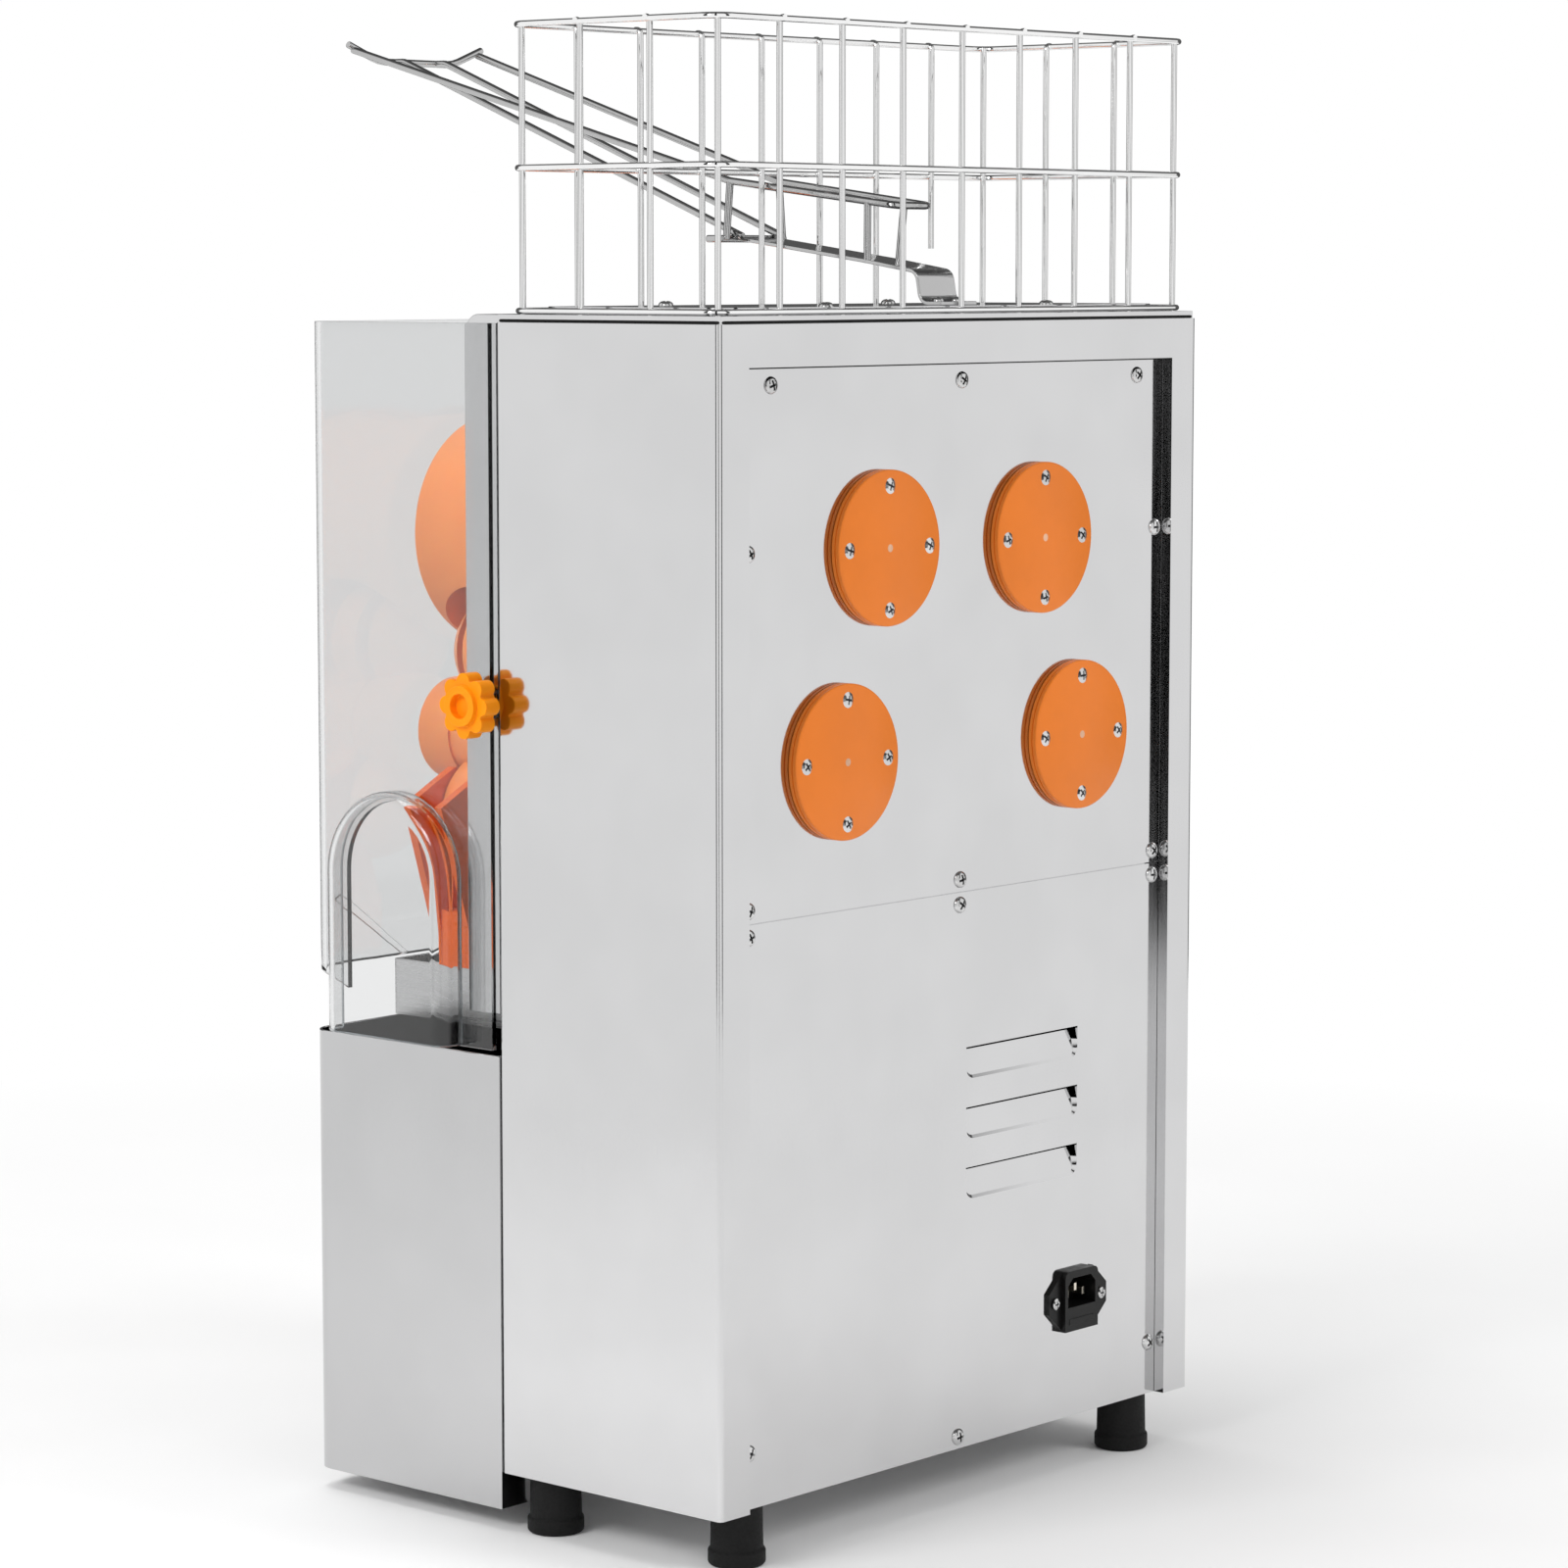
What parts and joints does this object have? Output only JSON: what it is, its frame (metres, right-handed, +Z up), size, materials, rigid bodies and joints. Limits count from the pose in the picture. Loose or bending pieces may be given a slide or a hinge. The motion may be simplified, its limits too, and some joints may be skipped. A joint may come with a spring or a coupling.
{
  "type": "orange juicer",
  "caption": "Countertop orange juicer: steel cabinet with wire basket and feed ramp, cup and ball drums behind a clear cover, ejectors, peel bins, strainer tray and tap.",
  "frame": {"origin": "on the floor, under the middle of the whole outline", "axes": "+Z up, +Y towards the rear panels, +X to the right seen from the front"},
  "size_m": [0.4266, 0.434, 0.7824],
  "materials": {
    "polished_steel": "polished",
    "orange_plastic": "gloss",
    "drum_plastic": "satin",
    "ejector_plastic": "gloss",
    "clear_plastic": "clear",
    "black_rubber": "matte",
    "black_plastic": "satin",
    "screw_steel": "polished",
    "pin_brass": "polished",
    "gear_steel": "machined",
    "plate_steel": "machined",
    "motor_paint": "satin",
    "knife_steel": "polished",
    "tray_steel": "brushed",
    "wire_steel": "polished",
    "green_plastic": "gloss",
    "red_plastic": "gloss"
  },
  "bodies": {
    "cabinet": {"base_pan": "polished_steel", "basket": "wire_steel", "bearing_cover_lower_left": "orange_plastic", "bearing_cover_lower_right": "orange_plastic", "bearing_cover_upper_left": "orange_plastic", "bearing_cover_upper_right": "orange_plastic", "button_plate": "black_plastic", "cabinet_wrap": "polished_steel", "countersunk_screws": "screw_steel", "ejector_left": "ejector_plastic", "ejector_right": "ejector_plastic", "feed_ramp": "wire_steel", "feet": "black_rubber", "front_gear_plate": "plate_steel", "front_housing": "polished_steel", "gear_plate_pillars": "plate_steel", "gearmotor": "motor_paint", "inlet_housing": "black_plastic", "inlet_pins": "pin_brass", "juice_tray": "tray_steel", "knife": "knife_steel", "lower_rear_panel": "polished_steel", "rear_gear_plate": "plate_steel", "rear_panel_screws": "screw_steel", "shaft_bearings": "gear_steel", "tap_body": "tray_steel", "top_cover": "polished_steel", "top_cover_screws": "screw_steel", "upper_rear_panel": "polished_steel"},
    "cup_drum_right_turn": {"cup_drum_right": "drum_plastic", "shaft_upper_right": "gear_steel", "gear_upper_right": "gear_steel", "sync_gear_right": "gear_steel", "drum_nut_upper_right": "screw_steel"},
    "cup_drum_left_turn": {"cup_drum_left": "drum_plastic", "shaft_upper_left": "gear_steel", "gear_upper_left": "gear_steel", "sync_gear_left": "gear_steel", "drum_nut_upper_left": "screw_steel"},
    "ball_drum_right_turn": {"ball_drum_right": "drum_plastic", "shaft_lower_right": "gear_steel", "gear_lower_right": "gear_steel", "drum_nut_lower_right": "screw_steel"},
    "ball_drum_left_turn": {"ball_drum_left": "drum_plastic", "shaft_lower_left": "gear_steel", "gear_lower_left": "gear_steel", "drum_nut_lower_left": "screw_steel"},
    "motor_pinion": {"drive_pinion": "gear_steel"},
    "press_cover": {"clear_cover": "clear_plastic", "outlet_hood_right": "clear_plastic", "outlet_hood_left": "clear_plastic"},
    "knob_right": {"star_knob_right": "orange_plastic"},
    "knob_left": {"star_knob_left": "orange_plastic"},
    "bin_right": {"peel_bin_right": "polished_steel"},
    "bin_left": {"peel_bin_left": "polished_steel"},
    "strainer": {"strainer_drawer": "tray_steel"},
    "tap_handle": {"tap_lever": "orange_plastic"},
    "fuse_carrier": {"fuse_drawer": "black_plastic"},
    "start_push": {"start_button": "green_plastic"},
    "stop_push": {"stop_button": "red_plastic"}
  },
  "joints": [
    {"name": "cup_drum_right_spin", "type": "hinge", "parent": "cabinet", "child": "cup_drum_right_turn", "pos_m": [0.064, -0.026, 0.5125], "axis": [0, 1, 0], "continuous": true},
    {"name": "cup_drum_left_spin", "type": "hinge", "parent": "cabinet", "child": "cup_drum_left_turn", "pos_m": [-0.064, -0.026, 0.5125], "axis": [0, 1, 0], "continuous": true},
    {"name": "ball_drum_right_spin", "type": "hinge", "parent": "cabinet", "child": "ball_drum_right_turn", "pos_m": [0.0969, -0.026, 0.40544], "axis": [0, 1, 0], "continuous": true},
    {"name": "ball_drum_left_spin", "type": "hinge", "parent": "cabinet", "child": "ball_drum_left_turn", "pos_m": [-0.0969, -0.026, 0.40544], "axis": [0, 1, 0], "continuous": true},
    {"name": "motor_pinion_spin", "type": "hinge", "parent": "cabinet", "child": "motor_pinion", "pos_m": [0.01998, 0.157, 0.37168], "axis": [0, 1, 0], "continuous": true},
    {"name": "press_cover_slide", "type": "slide", "parent": "cabinet", "child": "press_cover", "axis": [0, -1, 0], "range_m": [0, 0.16]},
    {"name": "star_knob_right_turn", "type": "hinge", "parent": "press_cover", "child": "knob_right", "pos_m": [0.205, 0.054, 0.432], "axis": [1, 0, 0], "continuous": true},
    {"name": "star_knob_left_turn", "type": "hinge", "parent": "press_cover", "child": "knob_left", "pos_m": [-0.205, 0.054, 0.432], "axis": [-1, 0, 0], "continuous": true},
    {"name": "peel_bin_right_slide", "type": "slide", "parent": "cabinet", "child": "bin_right", "axis": [0, -1, 0], "range_m": [0, 0.14]},
    {"name": "peel_bin_left_slide", "type": "slide", "parent": "cabinet", "child": "bin_left", "axis": [0, -1, 0], "range_m": [0, 0.14]},
    {"name": "strainer_drawer_slide", "type": "slide", "parent": "cabinet", "child": "strainer", "axis": [0, -1, 0], "range_m": [0, 0.09]},
    {"name": "tap_lever_turn", "type": "hinge", "parent": "cabinet", "child": "tap_handle", "pos_m": [0, -0.033, 0.232], "axis": [0, 1, 0], "range_deg": [0, 90]},
    {"name": "fuse_drawer_slide", "type": "slide", "parent": "cabinet", "child": "fuse_carrier", "axis": [0, 1, 0], "range_m": [0, 0.012]},
    {"name": "start_button_push", "type": "slide", "parent": "cabinet", "child": "start_push", "axis": [1, 0, 0], "range_m": [0, 0.003], "stiffness_N_per_m": 300},
    {"name": "stop_button_push", "type": "slide", "parent": "cabinet", "child": "stop_push", "axis": [1, 0, 0], "range_m": [0, 0.003], "stiffness_N_per_m": 300}
  ],
  "couplings": [
    {"joint": "cup_drum_left_spin", "follows": "cup_drum_right_spin", "ratio": -1},
    {"joint": "ball_drum_right_spin", "follows": "cup_drum_right_spin", "ratio": -1},
    {"joint": "ball_drum_left_spin", "follows": "cup_drum_right_spin", "ratio": 1},
    {"joint": "motor_pinion_spin", "follows": "cup_drum_right_spin", "ratio": 2}
  ]
}
